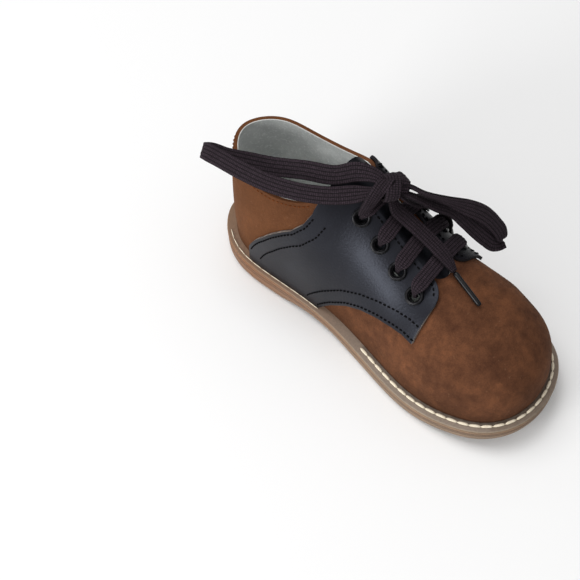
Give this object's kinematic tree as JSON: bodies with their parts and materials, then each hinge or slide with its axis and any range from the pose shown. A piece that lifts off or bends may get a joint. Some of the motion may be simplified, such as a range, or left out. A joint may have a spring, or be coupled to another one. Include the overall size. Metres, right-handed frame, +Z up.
{
  "type": "toddler saddle shoe, left foot",
  "caption": "Laced toddler saddle shoe for the left foot: brown suede upper, dark smooth saddle, welted rubber sole, standing empty.",
  "frame": {"origin": "centre of the sole's outline from above, on the floor under the sole", "axes": "+Z up, toe toward -Y, heel toward +Y, medial side toward -X, lateral side toward +X"},
  "size_m": [0.0662, 0.1596, 0.0782],
  "materials": {
    "suede": "napped, matte",
    "smooth_leather": "smooth, satin",
    "insole": "matte",
    "welt": "matte",
    "sole": "matte",
    "eyelet": "painted, semi-gloss",
    "lace": "flat woven"
  },
  "bodies": {
    "root": {"outsole": "sole", "midsole": "welt", "insole": "insole", "upper": "suede", "saddle_medial": "smooth_leather", "saddle_lateral": "smooth_leather", "tongue": "smooth_leather", "eyelet_medial_1": "eyelet", "eyelet_medial_2": "eyelet", "eyelet_medial_3": "eyelet", "eyelet_medial_4": "eyelet", "eyelet_lateral_1": "eyelet", "eyelet_lateral_2": "eyelet", "eyelet_lateral_3": "eyelet", "eyelet_lateral_4": "eyelet", "lace_bar_1": "lace", "lace_bar_2": "lace", "lace_bar_3": "lace", "lace_bar_4": "lace", "lace_knot": "lace", "lace_loop_medial": "lace", "lace_loop_lateral": "lace", "lace_end_medial": "lace", "lace_end_lateral": "lace", "aglet_medial": "eyelet", "aglet_lateral": "eyelet"}
  },
  "joints": []
}
